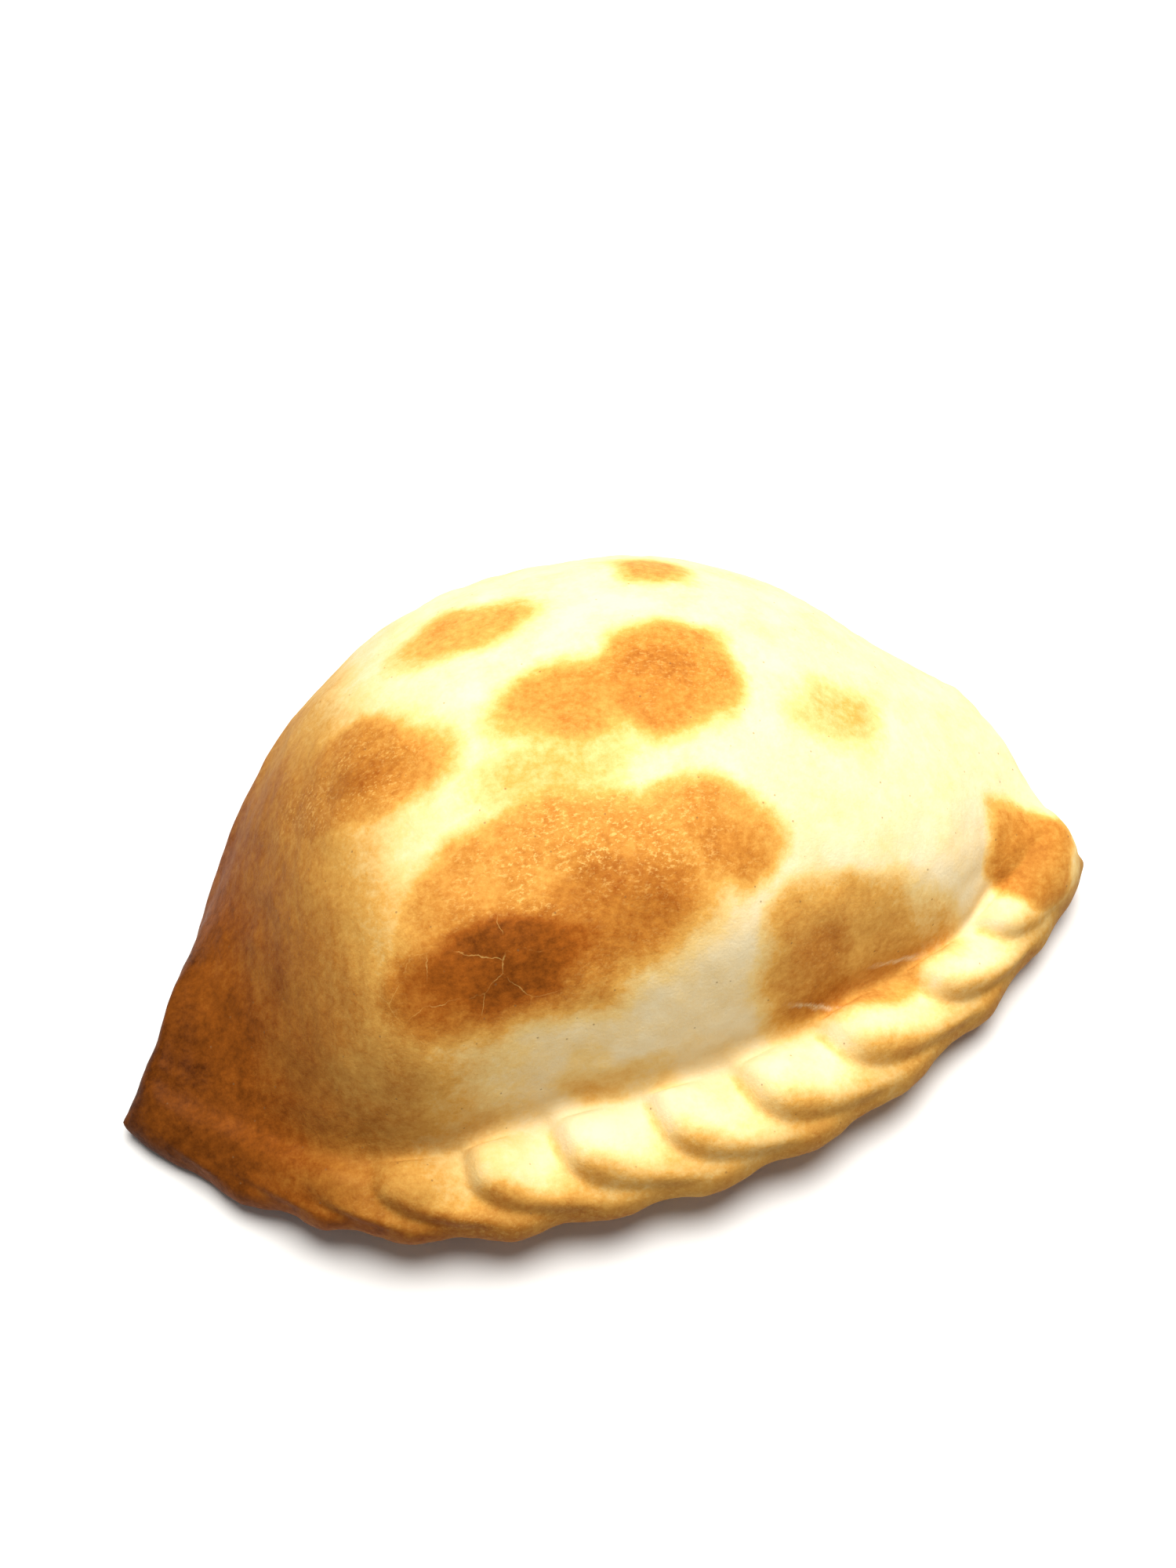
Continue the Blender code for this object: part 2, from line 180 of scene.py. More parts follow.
def ease(start, end, value):
    """Smooth step: 0 before start, 1 after end, level and unbent at both."""
    share = np.clip((value - start) / (end - start), 0.0, 1.0)
    return share ** 3 * (10.0 - 15.0 * share + 6.0 * share ** 2)


def within(starts, ends, value):
    """Rises from 0 to 1 between the two starts, and falls back to 0 between the two ends."""
    return ease(*starts, value) * (1.0 - ease(*ends, value))


def bell(middle, width, value):
    """Bell curve: e to the power of minus the square of the distance, counted in widths."""
    return np.exp(-((value - middle) / width) ** 2)


def by_side(along, pair):
    """The first of the pair on the left half, the second on the right."""
    return np.where(along < 0.0, pair[0], pair[1])


def rim_line(along):
    """Plan points of the rim, and the directions straight in from it.

    The rim bows forward by 1 minus a power of the place along the length.
    """
    power = by_side(along, RIM_POWER)
    reach = np.abs(along)
    rim = np.stack([HALF_LENGTH * along, -RIM_BOW * (1.0 - reach ** power)], -1)
    slope = RIM_BOW * power * reach ** (power - 1.0) * np.sign(along) / HALF_LENGTH
    inward = np.stack([-slope, np.ones_like(slope)], -1)
    return rim, inward / np.linalg.norm(inward, axis=-1, keepdims=True)


def back_line(along):
    """Plan points of the back, from the left end's inner corner to the right end's.

    It bows out by 1 minus a power of the place, rounded by a second power. A bell curve pushes its
    right end out.
    """
    fall = np.maximum(1.0 - np.abs(along) ** by_side(along, BACK_POWER), 0.0)
    y = BACK_CORNER_Y + (BACK_BOW - BACK_CORNER_Y) * fall ** by_side(along, BACK_ROUNDING)
    bulge = RIGHT_BULGE * bell(*RIGHT_BULGE_AT, along)
    return np.stack([by_side(along, BACK_CORNER_X) * along + bulge, y], -1)


def border_width(along):
    """Width of the border: narrow on the left, and narrowing again under the knob."""
    width = BORDER_WIDTH_LEFT + (BORDER_WIDTH - BORDER_WIDTH_LEFT) * ease(*BORDER_WIDENS, along)
    return width * (1.0 - BORDER_NARROWING * ease(*BORDER_NARROWS, along))


def guide_points(along):
    """Guide points of every ring: array of rings x guide points x 3.

    Each point lies at a share of the way across the border, or from the wall's foot to the back,
    and at a share of the rise there.
    """
    rim, inward = rim_line(along)
    back = back_line(along)
    reach = np.abs(along)
    across = back - rim
    across /= np.linalg.norm(across, axis=1, keepdims=True)
    turn = ease(*BORDER_TURNS, reach)[:, None]
    border = inward * (1.0 - turn) + across * turn
    border *= border_width(along)[:, None] / np.linalg.norm(border, axis=1, keepdims=True)
    foot = rim + border

    end_top = by_side(along, END_TOP_Z)
    fall = np.maximum(1.0 - reach ** DOME_POWER, 0.0)
    sag = END_SAG * ease(by_side(along, END_SAG_FROM), by_side(along, END_SAG_TO), reach)
    top = end_top + (HEIGHT - end_top) * fall ** by_side(along, DOME_ROUNDING) * (1.0 - sag)
    rising = ease(ENDS_RISE_FROM, 1.0, reach)
    back_z = BACK_Z + (END_BACK_Z - BACK_Z) * rising
    lift = by_side(along, END_LIFT) * rising

    gentle = ease(by_side(along, GENTLE_FROM), by_side(along, GENTLE_TO), reach)
    foot_z = BORDER_FOOT_Z + gentle * (by_side(along, END_FOOT_Z) - BORDER_FOOT_Z)
    guides = []

    def add(start, step, share, z):
        """One more guide point on every ring: the start plus a share of the step, at height z."""
        plan = start + step * np.broadcast_to(share, along.shape)[:, None]
        guides.append(np.column_stack([plan, np.broadcast_to(z, along.shape)]))

    for share, z in BORDER_TOP:
        add(rim, border, share, z + share * (foot_z - BORDER_FOOT_Z))
    for share, rise, end_share, end_rise in WALL_AND_DOME:
        climb = rise + (end_rise - rise) * gentle
        add(foot, back - foot, share + (end_share - share) * gentle,
            foot_z + climb * (top - foot_z))
    for share, rise, end_share, end_rise in BACK_SLOPE:
        climb = rise + (end_rise - rise) * gentle
        climb = (BORDER_FOOT_Z - BACK_Z + climb * (HEIGHT - BORDER_FOOT_Z)) / (HEIGHT - BACK_Z)
        add(foot, back - foot, share + (end_share - share) * gentle,
            back_z + climb * (top - back_z))
    add(back, back - foot, 0.0, back_z)
    for share, rise, end_share, end_rise in UNDERSIDE:
        climb = rise + (end_rise - rise) * gentle
        add(foot, back - foot, share + (end_share - share) * gentle,
            lift + climb * (back_z - lift * (climb > 0.0)))
    for share, z in BORDER_UNDER:
        add(rim, border, share, z)
    guides = np.stack(guides, axis=1)

    # The ends round off: the thickness shrinks along a quarter circle, the corners a little.
    cap = np.clip((reach - 1.0 + END_CAP) / END_CAP, 0.0, 1.0)
    thickness = np.maximum(np.sqrt(1.0 - cap ** 2), THIN_END)[:, None, None]
    middle = np.column_stack([(rim + back) / 2.0, np.full(along.shape, END_MIDDLE_Z)])[:, None]
    narrowing = 1.0 - by_side(along, END_CORNER)[:, None, None] * (1.0 - thickness)
    shrink = np.concatenate([narrowing, narrowing, thickness], axis=2)
    guides = middle + (guides - middle) * shrink

    # The ends sink towards the table, and move out and back a little as they do.
    sink = by_side(along, END_SINK) * ease(by_side(along, END_SINKS_FROM),
                                           by_side(along, END_SINKS_TO), reach)
    spread = by_side(along, END_SPREAD) * sink
    return guides + np.column_stack([spread, END_SWING * sink, -sink])[:, None]


def ring_knots():
    """Distances round the middle ring at which its guide points lie, and its whole length.

    They are the running sum of the steps from each guide point to the next.
    """
    ring = guide_points(np.zeros(1))[0]
    steps = np.linalg.norm(np.roll(ring, -1, axis=0) - ring, axis=1)
    return np.concatenate([[0.0], np.cumsum(steps)[:-1]]), steps.sum()


def closed_curve_weights(knots, length, places):
    """Weights of the guide points in a closed cubic spline, for each place round it.

    The curvatures at the guide points are solved so that each piece's slope meets the next one's.
    """
    count = len(knots)
    gaps = np.diff(np.append(knots, knots[0] + length))
    here = np.arange(count)
    after = (here + 1) % count
    before = (here - 1) % count
    bend = np.zeros((count, count))
    pull = np.zeros((count, count))
    bend[here, before] += gaps[before]
    bend[here, here] += 2.0 * (gaps[before] + gaps)
    bend[here, after] += gaps
    pull[here, before] += 6.0 / gaps[before]
    pull[here, here] -= 6.0 / gaps[before] + 6.0 / gaps
    pull[here, after] += 6.0 / gaps
    curvature = np.linalg.solve(bend, pull)

    first = np.clip(np.searchsorted(knots, places, side="right") - 1, 0, count - 1)
    second = after[first]
    gap = gaps[first][:, None]
    past = places[:, None] - knots[first][:, None]
    left = gap - past
    unit = np.eye(count)
    return (unit[first] * left / gap + unit[second] * past / gap
            + curvature[first] * (left ** 3 / gap - gap * left) / 6.0
            + curvature[second] * (past ** 3 / gap - gap * past) / 6.0)


def ring_places(knots, length, count):
    """Places round the ring, closer together over the border than over the dome.

    They are equal steps of the running sum of the density.
    """
    foot = knots[len(BORDER_TOP) - 1]
    under = knots[-len(BORDER_UNDER)]
    fine = np.linspace(0.0, length, PLACE_STEPS + 1)
    on_border = 1.0 - ease(*THIN_OUT, fine - foot)
    on_underside = UNDER_DENSITY * ease(*CLOSE_UP, fine - under)
    density = 1.0 + (BORDER_DENSITY - 1.0) * (on_border + on_underside)
    total = np.concatenate([[0.0], np.cumsum(density[1:] + density[:-1])])
    return np.interp(np.arange(count) / count * total[-1], total, fine)


def fold_place(x, across):
    """Number of folds up to a point, and its share of the way through its own fold.

    across is 0 at the wall's foot and 1 at the rim. The creases slant and then hook right.
    """
    first, last = CREASES[0] - END_PITCH[0], CREASES[-1] + END_PITCH[1]
    marks = np.array((first - END_PITCH[0], first, *CREASES, last, last + END_PITCH[1]))
    hook = np.minimum(across / HOOK_AT, HOOK_END) ** HOOK_POWER
    sweep = FOLD_SLANT * across + FOLD_HOOK * hook
    count = np.interp(x, marks, np.arange(len(marks))) - sweep
    return np.floor(count), count - np.floor(count)


def fold_relief(share):
    """Height of a fold and its bump in the outline, in shares of a full fold.

    A fold swells up steeply from its crease and sinks gently to the next one.
    """
    climb = np.hypot(share / FOLD_CREST, CREASE_SOFTNESS) - CREASE_SOFTNESS
    swell = 1.0 - (1.0 - climb) ** 3
    sink = 0.5 + 0.5 * np.cos(np.pi * (share - FOLD_CREST) / (1.0 - FOLD_CREST))
    height = np.where(share < FOLD_CREST, swell, sink)
    scallop = np.cos(2.0 * np.pi * (share - FOLD_CREST))
    return height, scallop


def softened(field):
    """Each value becomes half itself and a quarter of each neighbour, twice along and round."""
    for axis in (0, 1, 0, 1):
        field = 0.5 * field + 0.25 * (np.roll(field, 1, axis) + np.roll(field, -1, axis))
    return field


def waves(points, length, seed, count=24):
    """Soft noise around 0: the sum of sine waves of one length in seeded directions."""
    draw = np.random.default_rng(seed)
    headings = draw.normal(size=(3, count))
    headings /= np.linalg.norm(headings, axis=0)
    phases = draw.uniform(0.0, 2.0 * np.pi, count)
    return np.sin(points @ headings * (2.0 * np.pi / length) + phases).sum(-1) / np.sqrt(count)


def blisters(points, on_top):
    """Small smooth bumps: bell curves of seeded heights round seeded points of the top."""
    draw = np.random.default_rng(BLISTER_SEED)
    places = points[on_top]
    middles = places[draw.integers(len(places), size=BLISTERS)]
    widths = draw.uniform(*BLISTER_WIDTH, BLISTERS)
    heights = draw.uniform(*BLISTER_HEIGHT, BLISTERS)
    rise = np.zeros(points.shape[:2])
    for middle, width, height in zip(middles, widths, heights):
        rise += height * np.exp(-np.sum((points - middle) ** 2, axis=2) / width ** 2)
    return rise


# The plain surface
spread = np.linspace(-1.0, 1.0, RINGS)
along = (1.0 - RING_CROWDING) * spread + RING_CROWDING * np.sin(np.pi * spread / 2.0)
knots, ring_length = ring_knots()
places = ring_places(knots, ring_length, RING_POINTS)
plain = np.einsum("pg,rgc->rpc", closed_curve_weights(knots, ring_length, places),
                  guide_points(along))

# Directions straight out of it
rightwards = np.gradient(plain, axis=0)
upwards = np.roll(plain, -1, axis=1) - np.roll(plain, 1, axis=1)
outwards = np.cross(rightwards, upwards)
outwards /= np.linalg.norm(outwards, axis=2, keepdims=True)

# The knob: a low dome on the top of the right end
aside = (plain[..., :2] - (KNOB_X, KNOB_Y)) / KNOB_RADIUS
knob = np.maximum(1.0 - np.sum(aside ** 2, axis=2), 0.0) ** KNOB_ROUNDING
knob *= ease(*KNOB_TOP_FROM, plain[..., 2]) * ease(0.0, KNOB_EDGE, 1.0 - along)[:, None]

# The crimp: folds over the border, fading on to the wall, underneath and under the knob
foot_place = knots[len(BORDER_TOP) - 1]
across = 1.0 - np.where(places < ring_length / 2.0, places, places - ring_length) / foot_place
across = np.where(places < ring_length / 2.0, across, 2.0 - across)[None, :]
fold_x = (HALF_LENGTH * along)[:, None]
fold, share = fold_place(fold_x, np.clip(across, 0.0, 1.0))
height, scallop = fold_relief(share)
folded = within(FOLDS_FROM, FOLDS_TO, fold_x) * (1.0 - knob)
fold_top = within(FOLD_STARTS, FOLD_THINS, across)
at_rim = within(SCALLOP_STARTS, SCALLOP_ENDS, across)
scalloped = within(SCALLOPS_FROM, FOLDS_TO, fold_x) * (1.0 - knob)
rise = folded * FOLD_HEIGHT * height * fold_top + scalloped * SCALLOP * scallop * at_rim

# The dents of the dough and the knob, all softened between neighbouring points, then the
# blisters and the grain
wave = 2.0 * np.pi * plain / DENT_LENGTH
bend = DENT_BEND * np.sin(DENT_BEND_PITCH * wave[..., 1])
dents = np.sin(wave[..., 0] + bend) * np.cos(DENT_ACROSS * wave[..., 1])
rise += DENT_DEPTH * dents * ease(0.0, DENTS_FADE, 1.0 - np.abs(along))[:, None]
rise = softened(rise + KNOB_RISE * knob)
rise += blisters(plain, (across < BLISTERS_UP_TO) & (outwards[..., 2] > BLISTERS_FACE_UP))
for number, (wave_length, wave_height) in enumerate(GRAIN):
    rise += wave_height * waves(plain, wave_length, GRAIN_SEED + number)

crust_points = plain + outwards * rise[..., None]
crust_points[..., 2] = np.maximum(crust_points[..., 2], 0.0)

# The finished surface fills the box of the frame's node
lowest, highest = (np.array(corner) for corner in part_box("empanada"))
reach = crust_points.max(axis=(0, 1)) - crust_points.min(axis=(0, 1))
fit = (highest - lowest) / reach
crust_points = lowest + (crust_points - crust_points.min(axis=(0, 1))) * fit

# Browning, 0 for pale dough and 1 for dark brown, worked out in millimetres on the plan.
# Patches: middle x and y, half length, half width, turn in degrees, tone, soft edge
PATCHES = (
    (-8.0, 2.4, 17.5, 9.8, 4, 0.56, 2.6),
    (9.5, 3.4, 9.3, 6.6, 0, 0.54, 2.4),
    (-3.0, -1.7, 14.0, 6.4, 8, 0.70, 3.6),
    (-15.0, -3.6, 14.5, 5.4, 2, 0.88, 3.6),
    (13.0, 1.4, 5.0, 3.6, 0, 0.66, 2.6),
    (12.5, 24.0, 9.0, 9.2, 0, 0.56, 2.4),
    (10.8, 22.4, 7.2, 7.8, 0, 0.62, 3.0),
    (3.0, 23.0, 12.0, 6.0, -4, 0.58, 2.8),
    (-4.0, 15.0, 10.0, 4.4, 0, 0.36, 3.4),
    (17.0, 44.0, 5.5, 3.8, -35, 0.50, 2.2),
    (31.5, 18.0, 5.5, 4.5, 0, 0.36, 4.0),
    (25.4, -6.8, 11.6, 5.4, 7, 0.46, 2.0),
    (21.0, -8.4, 7.0, 4.2, 8, 0.60, 3.2),
    (36.5, -5.0, 4.8, 3.6, 10, 0.34, 2.4),
    (-5.0, -12.9, 6.5, 1.1, -5, 0.30, 1.3),
    (-42.0, -9.0, 23.0, 9.0, -4, 0.52, 6.0),
    (-26.0, 24.0, 12.5, 8.0, -14, 0.60, 3.0),
    (-24.0, 22.5, 7.0, 4.0, -10, 0.72, 3.0),
    (-8.0, 39.0, 9.0, 4.6, 6, 0.50, 2.8),
)
PATCH_EDGE_WAVES = ((9.0, 0.7), (3.0, 0.16))    # wave length and shift of the patches' outlines
PATCH_SEED = 40
PALE = 0.05                         # tone of the dough between them
TOP_SIDE = (-0.25, 0.15)            # upward part of the outward direction, where the top begins


def patch(x, y, middle_x, middle_y, half_length, half_width, turn, soft_edge):
    """1 inside a turned ellipse and 0 outside it, eased over a soft edge."""
    turn = np.radians(turn)
    u = ((x - middle_x) * np.cos(turn) + (y - middle_y) * np.sin(turn)) / half_length
    v = ((y - middle_y) * np.cos(turn) - (x - middle_x) * np.sin(turn)) / half_width
    out = (np.hypot(u, v) - 1.0) * min(half_length, half_width)
    return 1.0 - ease(-soft_edge, soft_edge, out)


plan_x = plain[..., 0] / MM
plan_y = plain[..., 1] / MM
for number, (wave_length, shift) in enumerate(PATCH_EDGE_WAVES):
    plan_x = plan_x + shift * waves(plain / MM, wave_length, PATCH_SEED + 2 * number)
    plan_y = plan_y + shift * waves(plain / MM, wave_length, PATCH_SEED + 2 * number + 1)
facing_up = ease(*TOP_SIDE, outwards[..., 2])
browning = np.full(plan_x.shape, PALE)
for *place, tone, soft_edge in PATCHES:
    browning = np.maximum(browning, tone * patch(plan_x, plan_y, *place, soft_edge) * facing_up)

# Each fold browns in a spot on its swelling and along the rim, and is darker thinly along its
# crease, partly from browning and partly from painted shade in the crease. The spots are placed in
# folds from the crease before it hooks, and across the border.
FOLD_TONES = (0.58, 0.54, 0.50, 0.48, 0.44, 0.42, 0.42, 0.42, 0.48, 0.44, 0.42, 0.42)
FOLDS_BROWN_FROM = (-0.050, -0.034)
SPOT_AT = (0.36, 0.24)              # a spot's middle and half length,
SPOT_STARTS = (0.0, 0.16)           # the share of its fold in which it fades in,
SPOT_ACROSS = (0.48, 0.30)          # its place across, and how far that shifts in one fold,
SPOT_WIDTH = 0.15                   # and its half width
SPOT_HIDDEN = 0.45                  # tone that a spot loses in the rim's brown band
CREASE_LINE_TONE = 0.36
CREASE_LINE_WIDTH = 0.04            # as a share of a fold
CREASE_LINE_STARTS = (0.0, 0.2)
CREASE_LINE_ENDS = (0.68, 0.75)
RIM_X = (-44.0, -38.0, -32.0, -24.0, -18.0, -12.0, -4.0)
RIM_TONES = (0.82, 0.78, 0.74, 0.68, 0.60, 0.52, 0.46)
RIM_UNEVEN = 0.06
RIM_UNEVEN_LENGTH = 7.0
RIM_SEED = 50
RIM_BAND_STARTS = (0.18, 0.96)
RIM_BAND_ENDS = (1.0, 1.8)
RIM_BAND_SWAY = 0.08                # the band widens by this once in each fold,
RIM_BAND_WIDEST = 0.15              # at this share of it

fold_tone = np.take(np.array(FOLD_TONES), np.clip(fold, 0, len(FOLD_TONES) - 1).astype(int))
browned = within(FOLDS_BROWN_FROM, FOLDS_TO, fold_x) * (1.0 - knob)
from_crease = share + FOLD_HOOK * np.clip(across / HOOK_AT, 0.0, HOOK_END) ** HOOK_POWER
spot_across = SPOT_ACROSS[0] + SPOT_ACROSS[1] * from_crease
spot = (bell(*SPOT_AT, from_crease) * ease(*SPOT_STARTS, share)
        * bell(spot_across, SPOT_WIDTH, across))
# thin darker line along each crease: browning and painted crease shade
crease_line = (bell(0.0, CREASE_LINE_WIDTH, np.minimum(share, 1.0 - share))
               * within(CREASE_LINE_STARTS, CREASE_LINE_ENDS, across))
swayed = across + RIM_BAND_SWAY * np.cos(2.0 * np.pi * (share - RIM_BAND_WIDEST))
rim_band = ease(*RIM_BAND_STARTS, swayed) * (1.0 - ease(*RIM_BAND_ENDS, across))
rim_tone = np.interp(plan_x, RIM_X, RIM_TONES)
rim_tone += RIM_UNEVEN * waves(plain / MM, RIM_UNEVEN_LENGTH, RIM_SEED)
spot_tone = np.maximum(fold_tone - SPOT_HIDDEN * rim_band, 0.0)
border_tone = rim_tone * rim_band + spot_tone * spot * browned
border_tone = np.maximum(border_tone, CREASE_LINE_TONE * crease_line * browned)
browning = np.maximum(browning, softened(border_tone))

# The thin left end is brown all over, darkest at its tip, and its tone also holds painted shadow,
# most on the wall beside it, as if something lay over it. The knob is brown too
LEFT_END_X = (-57.0, -50.0, -44.0, -37.0, -29.0, -20.0, -14.0)
LEFT_END_BROWN_AND_SHADOW = (0.94, 0.90, 0.81, 0.67, 0.44, 0.12, 0.0)
KNOB_PATCH = (52.4, 2.6, 6.0, 6.4, 0, 1.8)      # as a patch, without its tone
KNOB_TONE = 0.60
# browning and painted shadow over the left end
browning = np.maximum(browning, np.interp(plan_x, LEFT_END_X, LEFT_END_BROWN_AND_SHADOW))
browning = np.maximum(browning, KNOB_TONE * patch(plan_x, plan_y, *KNOB_PATCH) * facing_up)

# The underside is baked nearly evenly golden by the tray
UNDERSIDE_TONE = 0.50
UNDERSIDE_ENDS = (-0.6, -0.1)       # upward part of the outward direction, where it ends
UNDERSIDE_UNEVEN = 0.3
UNDERSIDE_UNEVEN_LENGTH = 9.0
UNDERSIDE_SEED = 60
uneven = 1.0 + UNDERSIDE_UNEVEN * waves(plain / MM, UNDERSIDE_UNEVEN_LENGTH, UNDERSIDE_SEED)
underneath = 1.0 - ease(*UNDERSIDE_ENDS, outwards[..., 2])
browning = np.maximum(browning, UNDERSIDE_TONE * underneath * uneven)
browning = np.clip(browning, 0.0, 1.0)

# Darker along the rim, where the thin dough bakes dry and dull and painted shade is added, and at
# the left end, where the darkening is painted shadow
DRY_SHADED_STARTS = (0.42, 0.92)          # places across the border
DRY_SHADED_ENDS = (1.3, 1.9)
PAINTED_SHADOW_LEFT = (-44.0, -6.0)
dry_and_shaded = within(DRY_SHADED_STARTS, DRY_SHADED_ENDS, across) * (1.0 - knob)
# painted shadow over the left end, fading out towards the middle
dry_and_shaded = np.maximum(dry_and_shaded, 1.0 - ease(*PAINTED_SHADOW_LEFT, plan_x))

# Fine pale flecks lie in some patches: middle, half length, half width, turn, amount, soft edge
FLECKED = (
    (-3.0, 5.0, 15.0, 7.0, 5, 1.00, 4.0),
    (10.0, 3.5, 8.0, 6.0, 0, 0.60, 4.0),
    (25.0, -6.0, 12.0, 5.0, 9, 0.25, 3.0),
    (12.5, 24.5, 8.0, 7.0, 0, 0.40, 4.0),
    (-24.0, 23.0, 10.0, 6.0, -14, 0.60, 4.0),
)
FOLDS_FLECKED = 0.25                # and thinly on all the folds
flecked = FOLDS_FLECKED * folded * facing_up
for *place, amount, soft_edge in FLECKED:
    flecked = np.maximum(flecked, amount * patch(plan_x, plan_y, *place, soft_edge) * facing_up)

# Fine cracks run through the darkest patch, in a field given as a patch without its tone
CRACKED = (-17.0, -3.5, 11.0, 4.5, 4, 3.0)
cracked = patch(plan_x, plan_y, *CRACKED) * facing_up

# Two thin pale painted highlights, glossy streaks, lie on the wall just above the crimp. They are
# placed on a plane square to the camera's view, which leans back as the wall does: along it and up
# it, in millimetres from the origin, then their half length, half width and turn.
HIGHLIGHT_STREAKS = ((22.2, 3.1, 2.6, 0.24, -9), (32.5, 7.9, 2.8, 0.28, 12))
HIGHLIGHT_EDGE = 0.20
HIGHLIGHT_WAVE = 0.15                   # they bend up and down by this
HIGHLIGHT_WAVE_LENGTH = 2.0
HIGHLIGHT_SEED = 70
HIGHLIGHT_PLANE_ALONG = (0.960, -0.281, 0.0)
HIGHLIGHT_PLANE_UP = (0.243, 0.831, 0.5)
plane_x = plain @ np.array(HIGHLIGHT_PLANE_ALONG) / MM
plane_y = plain @ np.array(HIGHLIGHT_PLANE_UP) / MM
plane_y += HIGHLIGHT_WAVE * waves(plain / MM, HIGHLIGHT_WAVE_LENGTH, HIGHLIGHT_SEED)
painted_highlight = np.zeros_like(browning)
for place in HIGHLIGHT_STREAKS:
    painted_highlight = np.maximum(painted_highlight, patch(plane_x, plane_y, *place, HIGHLIGHT_EDGE) * facing_up)

# The mesh: rings of four-sided facets, closed at both ends by a fan round a tip
tips = crust_points[[0, -1]].mean(axis=1)
ring_start = np.arange(RINGS - 1)[:, None] * RING_POINTS
here = np.arange(RING_POINTS)
after = (here + 1) % RING_POINTS
quads = np.stack([ring_start + here, ring_start + RING_POINTS + here,
                  ring_start + RING_POINTS + after, ring_start + after], -1).reshape(-1, 4)
left_tip = RINGS * RING_POINTS
last_ring = left_tip - RING_POINTS
left_fan = np.column_stack([np.full(RING_POINTS, left_tip), here, after])
right_fan = np.column_stack([np.full(RING_POINTS, left_tip + 1), last_ring + after,
                             last_ring + here])
crust_mesh = bpy.data.meshes.new("crust")
crust_mesh.from_pydata(np.concatenate([crust_points.reshape(-1, 3), tips]).tolist(), [],
                       quads.tolist() + left_fan.tolist() + right_fan.tolist())
crust_mesh.update()
crust_mesh.shade_smooth()


def paint(mesh, name, values):
    """A value at every point of the rings, and the end rings' means at the tips."""
    full = np.concatenate([values.ravel(), values[[0, -1]].mean(axis=1)])
    mesh.attributes.new(name, "FLOAT", "POINT").data.foreach_set("value", full)


for name, values in (("browning", browning), ("flecked", flecked), ("cracked", cracked),
                     ("dry_and_shaded", dry_and_shaded), ("painted_highlight", painted_highlight)):
    paint(crust_mesh, name, values)

# Colours of baked dough, from pale to dark brown
BAKED = ((0.00, (0.80, 0.665, 0.41)), (0.20, (0.79, 0.55, 0.210)), (0.40, (0.68, 0.35, 0.072)),
         (0.60, (0.50, 0.194, 0.028)), (0.80, (0.31, 0.083, 0.008)), (1.00, (0.09, 0.021, 0.002)))
FLECK = (0.86, 0.56, 0.17, 1.0)
SPECK = (0.16, 0.085, 0.035, 1.0)
# colour of the two painted highlight streaks
HIGHLIGHT_COLOUR = (0.84, 0.68, 0.42, 1.0)

# Noises of the dough: size in metres, detail, and roughness where it isn't the plain 0.5
MOTTLE = (0.0060, 2.0)
STIPPLE = (0.0010, 6.0, 0.72)
FINE_GRAIN = (0.00035, 3.0)
FLECK_GRAIN = (0.0006, 4.0, 0.70)
CRACK_GAPS = (0.0030, 2.0)

# How far the first two swing the tone. The stipple does so most in half-browned dough.
MOTTLE_SWING = 0.28
STIPPLE_LEAST = 0.16
STIPPLE_SWING = 1.2
STIPPLE_FADES = 1.1                 # tone at which it would be back at its least
SHADE_AND_DRY_DARKENING = 0.34                      # share of its brightness lost to dryness and painted shade along the rim, and to painted shadow at the left end

# Flecks, cracks, painted highlight streaks and specks: the noise levels between which they fade
# in, their sizes, and how much of its own colour each has
FLECK_LEVELS = (0.50, 0.66)
FLECK_STRETCH = (1.0, 1.5, 1.3)
FLECK_TURN = (0.0, 0.0, 0.6)
FLECK_FIELDS = (0.30, 0.56)
FLECKS_END = (0.62, 0.80)           # tones between which they give way to plain dark brown
FLECK_COVER = 0.60
CRACK_CELLS = 150.0                 # cells per metre whose edges crack,
CRACK_WIDTH = 0.010                 # how wide, in cells,
CRACK_BENDS = (420.0, 4.0)          # bends per metre, and their detail,
CRACK_BEND = 0.0016                 # how far the cracks bend,
CRACK_LEVELS = (0.42, 0.62)         # and where they break off
CRACK_COVER = 0.32
HIGHLIGHT_LEVELS = (0.36, 0.54)
HIGHLIGHT_COVER = 0.80
SPECK_CELLS = 620.0                 # cells per metre,
SPECK_CHOSEN = (0.62, 0.64)         # the share of them that stay empty,
SPECK_EDGE = (0.05, 0.11)           # and the radius of a speck, in cells
SPECK_COVER = 0.55

# Surface: pale dough is rougher than brown dough, and all of it is finely uneven and matt
ROUGHNESS_TONES = (0.1, 0.8)
ROUGHNESS = (0.66, 0.46)
ROUGHNESS_SWING = 0.2
BUMP_SHARES = (0.7, 0.3)            # of the stipple and of the fine grain
BUMP_STRENGTH = 0.4
BUMP_HEIGHT = 0.00035
SPECULAR_LEVEL = 0.03


def add_node(tree, kind, inputs=None, **settings):
    """A node with its settings and inputs, where an input is a value or another node's output."""
    made = tree.nodes.new(kind)
    for name, value in settings.items():
        setattr(made, name, value)
    for name, value in (inputs or {}).items():
        if isinstance(value, bpy.types.NodeSocket):
            tree.links.new(value, made.inputs[name])
        else:
            made.inputs[name].default_value = value
    return made


